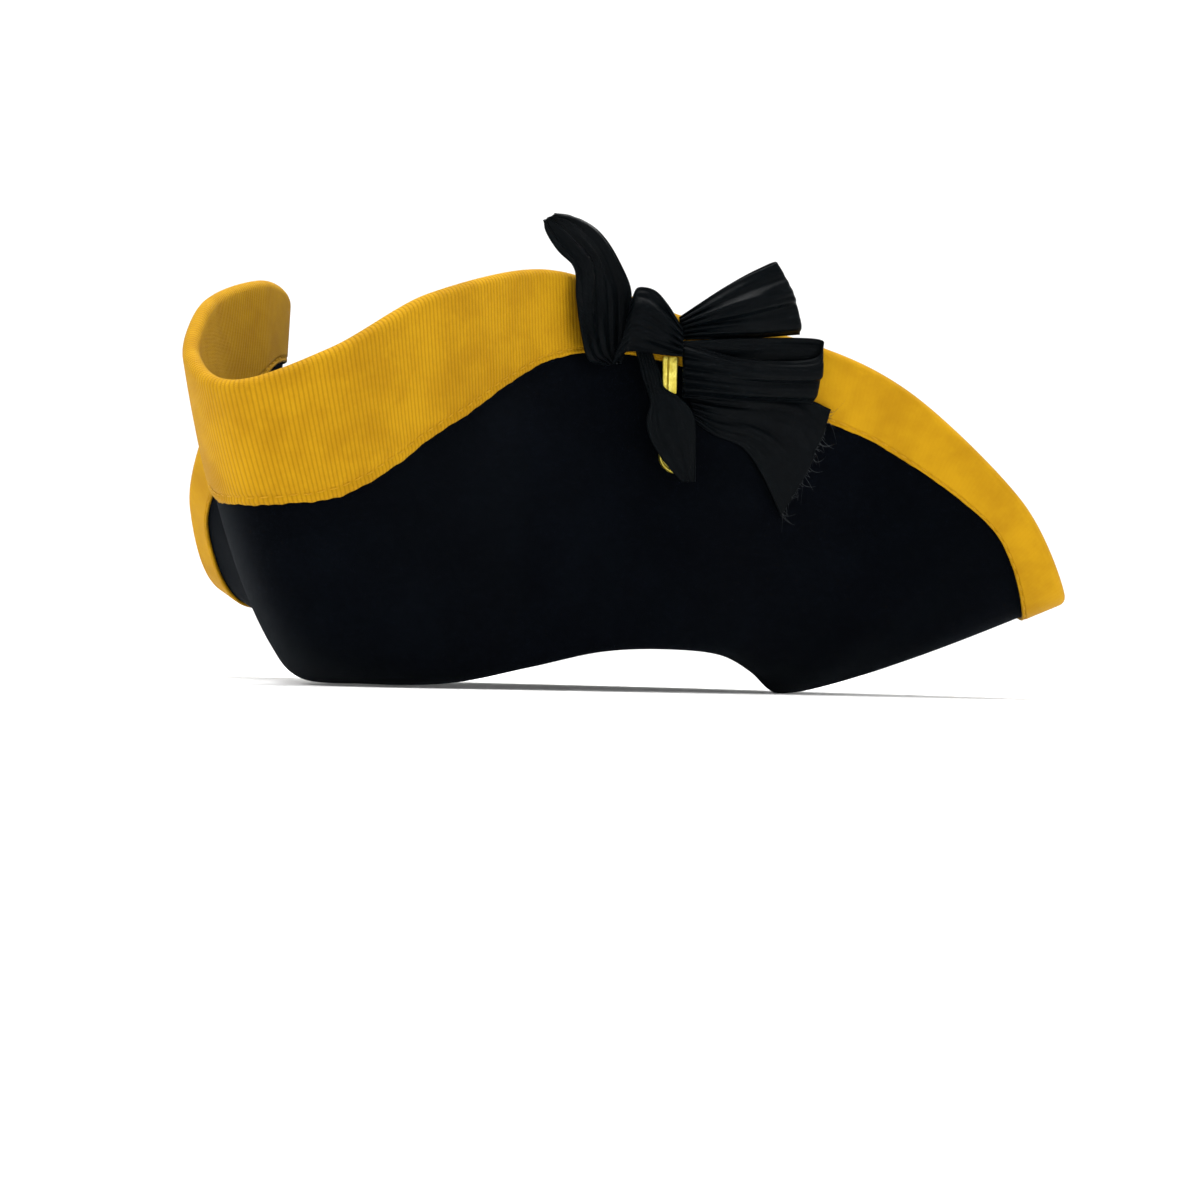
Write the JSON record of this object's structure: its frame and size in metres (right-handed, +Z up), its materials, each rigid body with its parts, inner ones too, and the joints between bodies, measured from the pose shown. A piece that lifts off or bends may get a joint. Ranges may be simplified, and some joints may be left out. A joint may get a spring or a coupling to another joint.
{
  "type": "tricorn hat",
  "caption": "Felt tricorn hat with a brim turned up on three sides, a wide ribbed binding and a ribbon cockade with a gilt button on one flap.",
  "frame": {"origin": "on the surface that the hat rests on, below the middle of its outline", "axes": "+Z up, the front peak points to -Y, the wearer's left, which carries the cockade, is +X"},
  "size_m": [0.3566, 0.3234, 0.1551],
  "materials": {
    "felt": "matt black wool felt",
    "binding": "ribbed mustard petersham ribbon",
    "satin": "black satin ribbon",
    "gilt": "bright gilt"
  },
  "bodies": {
    "root": {"felt_body": "felt", "brim_binding": "binding", "ear_ribbon": "satin", "curl_ribbon": "satin", "upper_ribbon": "satin", "middle_ribbon": "satin", "tail_ribbon": "satin", "strap_ribbon": "satin", "gilt_loop": "gilt", "gilt_button": "gilt"}
  },
  "joints": []
}
